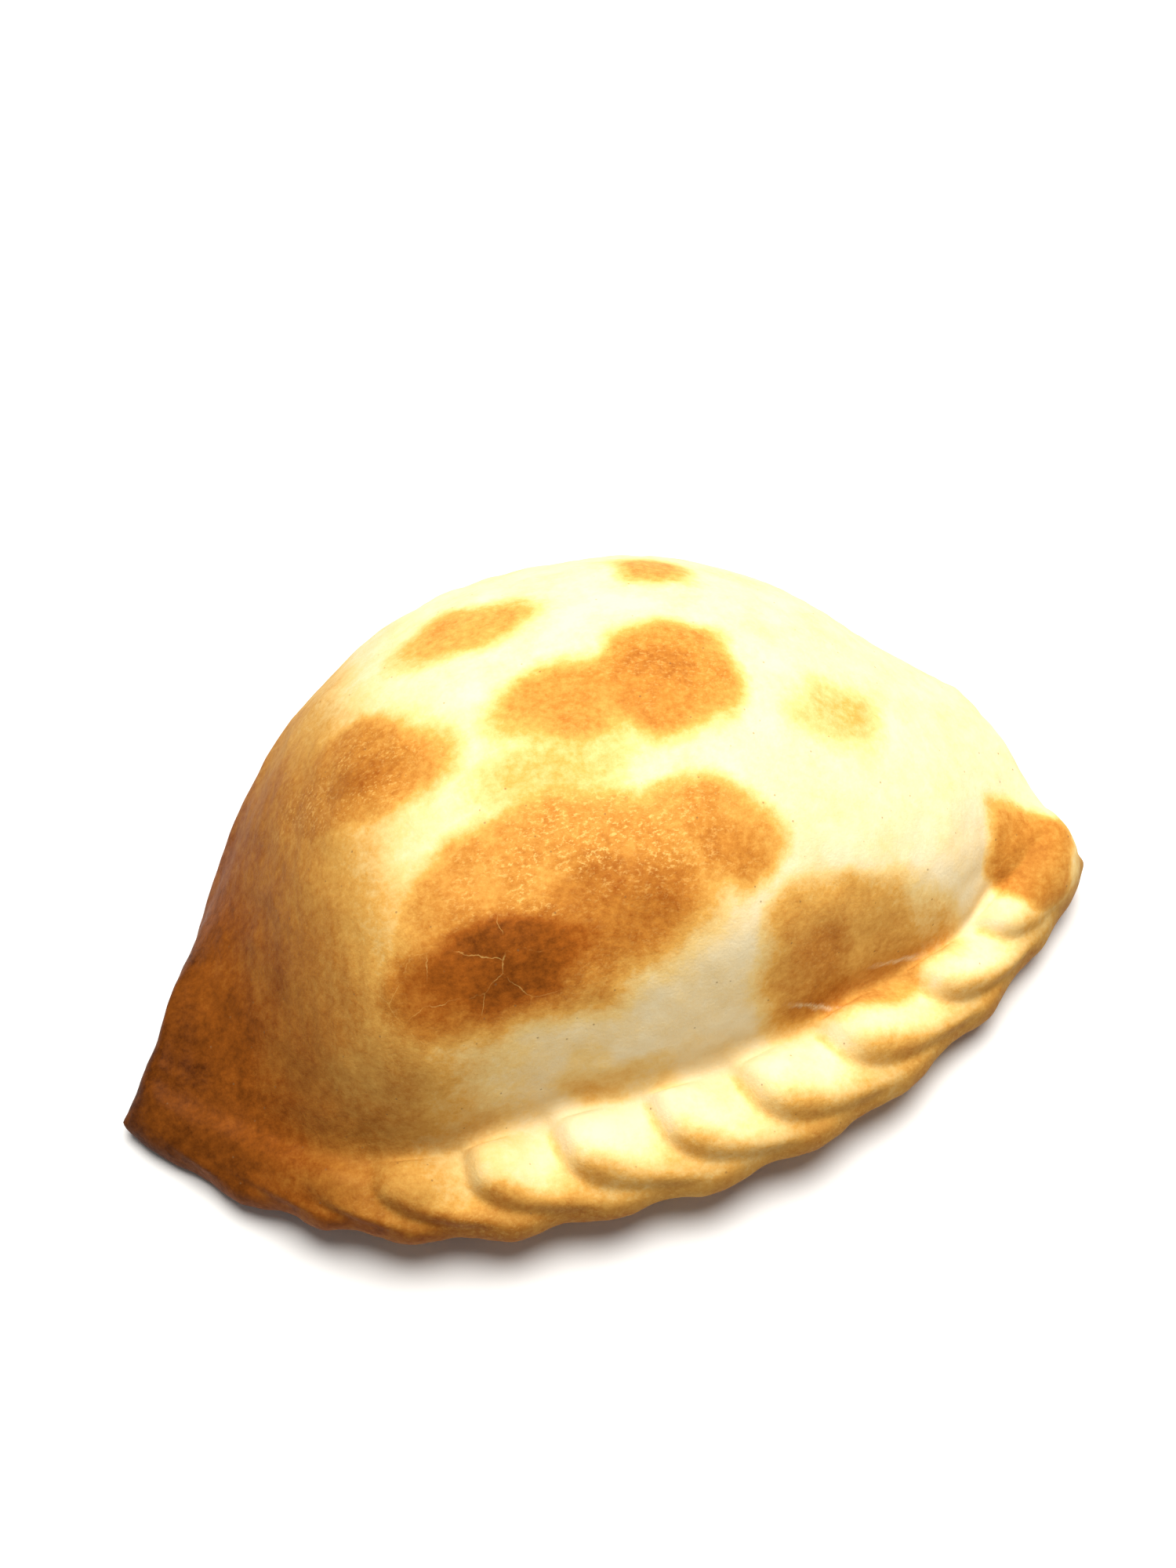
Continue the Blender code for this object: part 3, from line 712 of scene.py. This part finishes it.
def crust_material():
    """Baked dough, from pale to brown by the browning.

    Two noises swing the tone before it picks its colour from the ramp, and it is darkened by
    dryness and painted shade along the rim and by painted shadow at the left end. Pale flecks and
    cracks, two painted highlight streaks and dark specks are then mixed in. The finer noises also
    make the bump and vary the roughness.
    """
    material = bpy.data.materials.new("baked_dough")
    material.use_nodes = True
    tree = material.node_tree
    tree.nodes.clear()

    def painted(name):
        """The values painted on the mesh under this name."""
        return add_node(tree, "ShaderNodeAttribute", attribute_name=name).outputs["Fac"]

    def math(operation, *values, clamp=False):
        """One step of arithmetic on values or other nodes' outputs."""
        made = add_node(tree, "ShaderNodeMath", dict(enumerate(values)), operation=operation,
                        use_clamp=clamp)
        return made.outputs[0]

    def product(first, *others):
        """All of them multiplied."""
        for value in others:
            first = math("MULTIPLY", first, value)
        return first

    def swung(base, pattern, swing, clamp=False):
        """The base, plus the swing times how far the pattern is from its middle."""
        return math("MULTIPLY_ADD", math("SUBTRACT", pattern, 0.5), swing, base, clamp=clamp)

    def noise(place, size, detail, roughness=0.5):
        """Noise of one wave for each stretch of this size, with finer ones laid over it."""
        made = add_node(tree, "ShaderNodeTexNoise", {"Vector": place, "Scale": 1.0 / size,
                        "Detail": detail, "Roughness": roughness})
        return made.outputs[0]

    def between(value, low, high, to_low=0.0, to_high=1.0):
        """Smooth step from one result to the other as the value goes from low to high."""
        made = add_node(tree, "ShaderNodeMapRange", {"Value": value, "From Min": low,
                        "From Max": high, "To Min": to_low, "To Max": to_high},
                        interpolation_type="SMOOTHSTEP")
        return made.outputs[0]

    def mixed(share, first, second):
        """The first colour, with this share of it replaced by the second."""
        made = add_node(tree, "ShaderNodeMix", data_type="RGBA")
        for socket, value in ((0, share), (6, first), (7, second)):
            if isinstance(value, bpy.types.NodeSocket):
                tree.links.new(value, made.inputs[socket])
            else:
                made.inputs[socket].default_value = value
        return made.outputs[2]

    # The tone of the dough, swung by its noises, and its colour
    place = add_node(tree, "ShaderNodeTexCoord").outputs["Object"]
    tone = painted("browning")
    mottle = noise(place, *MOTTLE)
    stipple = noise(place, *STIPPLE)
    half_browned = product(tone, math("SUBTRACT", STIPPLE_FADES, tone))
    stippled = math("MULTIPLY_ADD", half_browned, STIPPLE_SWING, STIPPLE_LEAST)
    toned = swung(swung(tone, stipple, stippled), mottle, MOTTLE_SWING, clamp=True)
    baked = add_node(tree, "ShaderNodeValToRGB", {"Fac": toned})
    stops = baked.color_ramp.elements
    while len(stops) < len(BAKED):
        stops.new(0.5)
    for stop, (position, colour) in zip(stops, BAKED):
        stop.position = position
        stop.color = (*colour, 1.0)
    # darkened by dryness and painted shade along the rim, and by painted shadow at the left end
    brightness = math("MULTIPLY_ADD", painted("dry_and_shaded"), -SHADE_AND_DRY_DARKENING, 1.0)
    colour = add_node(tree, "ShaderNodeHueSaturation",
                      {"Color": baked.outputs["Color"], "Value": brightness}).outputs[0]

    # Pale flecks in fields, which the darkest dough lacks
    streaked = add_node(tree, "ShaderNodeMapping", {"Vector": place, "Scale": FLECK_STRETCH,
                        "Rotation": FLECK_TURN}).outputs[0]
    flecks = product(between(noise(streaked, *FLECK_GRAIN), *FLECK_LEVELS),
                     between(mottle, *FLECK_FIELDS), between(tone, *FLECKS_END, 1.0, 0.0),
                     painted("flecked"), FLECK_COVER)
    colour = mixed(flecks, colour, FLECK)

    # Cracks along the bent edges of cells, broken off here and there
    bends = add_node(tree, "ShaderNodeTexNoise", {"Vector": place, "Scale": CRACK_BENDS[0],
                     "Detail": CRACK_BENDS[1]}).outputs["Color"]
    bends = add_node(tree, "ShaderNodeVectorMath", {0: bends, 1: (CRACK_BEND,) * 3},
                     operation="MULTIPLY").outputs[0]
    bent = add_node(tree, "ShaderNodeVectorMath", {0: place, 1: bends}, operation="ADD").outputs[0]
    cells = add_node(tree, "ShaderNodeTexVoronoi", {"Vector": bent, "Scale": CRACK_CELLS},
                     feature="DISTANCE_TO_EDGE").outputs["Distance"]
    cracks = product(between(cells, 0.0, CRACK_WIDTH, 1.0, 0.0), painted("cracked"),
                     between(noise(place, *CRACK_GAPS), *CRACK_LEVELS), CRACK_COVER)
    colour = mixed(cracks, colour, FLECK)

    # two painted highlight streaks, pale glossy-looking marks on the wall
    highlights = product(painted("painted_highlight"), between(stipple, *HIGHLIGHT_LEVELS), HIGHLIGHT_COVER)
    colour = mixed(highlights, colour, HIGHLIGHT_COLOUR)

    # Dark specks, one at the core of each cell whose random colour has enough red in it
    grits = add_node(tree, "ShaderNodeTexVoronoi", {"Vector": place, "Scale": SPECK_CELLS})
    chosen = add_node(tree, "ShaderNodeSeparateColor", {"Color": grits.outputs["Color"]})
    specks = product(between(grits.outputs["Distance"], *SPECK_EDGE, 1.0, 0.0),
                     between(chosen.outputs[0], *SPECK_CHOSEN), SPECK_COVER)
    colour = mixed(specks, colour, SPECK)

    height = math("ADD", product(stipple, BUMP_SHARES[0]),
                  product(noise(place, *FINE_GRAIN), BUMP_SHARES[1]))
    bump = add_node(tree, "ShaderNodeBump", {"Height": height, "Strength": BUMP_STRENGTH,
                    "Distance": BUMP_HEIGHT})
    roughness = swung(between(toned, *ROUGHNESS_TONES, *ROUGHNESS), stipple, ROUGHNESS_SWING)
    shader = add_node(tree, "ShaderNodeBsdfPrincipled", {"Base Color": colour,
                      "Roughness": roughness, "Normal": bump.outputs["Normal"],
                      "Specular IOR Level": SPECULAR_LEVEL})
    output = add_node(tree, "ShaderNodeOutputMaterial")
    tree.links.new(shader.outputs["BSDF"], output.inputs["Surface"])
    return material


crust = bpy.data.objects.new("crust", crust_mesh)
bpy.context.scene.collection.objects.link(crust)
crust_mesh.materials.append(crust_material())
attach(crust, "root")
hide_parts("empanada")

# ---------------------------------------------------------------------------------------------
# Table
# A plain pale matt table top. The strong light turns it white, and the empanada lays a soft
# shadow on it under its raised edge.
# ---------------------------------------------------------------------------------------------
TABLE_HALF = 1.5
TABLE_COLOUR = (0.80, 0.79, 0.78, 1.0)
TABLE_ROUGHNESS = 0.9

table_mesh = bpy.data.meshes.new("table")
table_mesh.from_pydata([(-TABLE_HALF, -TABLE_HALF, 0.0), (TABLE_HALF, -TABLE_HALF, 0.0),
                        (TABLE_HALF, TABLE_HALF, 0.0), (-TABLE_HALF, TABLE_HALF, 0.0)],
                       [], [(0, 1, 2, 3)])
table_mesh.update()
table = bpy.data.objects.new("table", table_mesh)
bpy.context.scene.collection.objects.link(table)
table_paint = bpy.data.materials.new("pale_table")
table_paint.use_nodes = True
table_shader = table_paint.node_tree.nodes["Principled BSDF"]
table_shader.inputs["Base Color"].default_value = TABLE_COLOUR
table_shader.inputs["Roughness"].default_value = TABLE_ROUGHNESS
table_mesh.materials.append(table_paint)

# ---------------------------------------------------------------------------------------------
# Light
# One soft lamp high up behind on the right, and a pale room all round.
# ---------------------------------------------------------------------------------------------
LAMP_HEADING = 60.0                 # degrees on the plan, from +X towards +Y
LAMP_ELEVATION = 77.0
LAMP_DISTANCE = 0.60
LAMP_SIZE = 0.52
LAMP_POWER = 7.4
LAMP_COLOUR = (1.0, 0.985, 0.95)
ROOM_COLOUR = (1.0, 0.99, 0.98, 1.0)
ROOM_STRENGTH = 0.20

light = bpy.data.lights.new("lamp", "AREA")
light.shape = "DISK"
light.size = LAMP_SIZE
light.energy = LAMP_POWER
light.color = LAMP_COLOUR
lamp = bpy.data.objects.new("lamp", light)
bpy.context.scene.collection.objects.link(lamp)
heading, elevation = np.radians((LAMP_HEADING, LAMP_ELEVATION))
lamp.location = LAMP_DISTANCE * np.array((np.cos(heading) * np.cos(elevation),
                                          np.sin(heading) * np.cos(elevation), np.sin(elevation)))
lamp.rotation_euler = (np.pi / 2.0 - elevation, 0.0, heading + np.pi / 2.0)

room = bpy.data.worlds.new("room")
room.use_nodes = True
room.node_tree.nodes["Background"].inputs["Color"].default_value = ROOM_COLOUR
room.node_tree.nodes["Background"].inputs["Strength"].default_value = ROOM_STRENGTH
bpy.context.scene.world = room
bpy.context.scene.view_settings.view_transform = "Standard"

# ---------------------------------------------------------------------------------------------
# Camera
# The photograph's view: from the front left, looking down at 60 degrees.
# ---------------------------------------------------------------------------------------------
CAMERA_AT = (-0.0335, -0.1154, 0.2394)
CAMERA_AZIMUTH = 16.3156            # turned right from straight along +Y
CAMERA_DOWN = 60.0
CAMERA_LENS = 48.6
CAMERA_NEAR = 0.001

view = bpy.data.cameras.new("camera")
view.lens = CAMERA_LENS
view.clip_start = CAMERA_NEAR
camera = bpy.data.objects.new("camera", view)
bpy.context.scene.collection.objects.link(camera)
camera.location = CAMERA_AT
camera.rotation_euler = (np.radians(90.0 - CAMERA_DOWN), 0.0, -np.radians(CAMERA_AZIMUTH))
bpy.context.scene.camera = camera
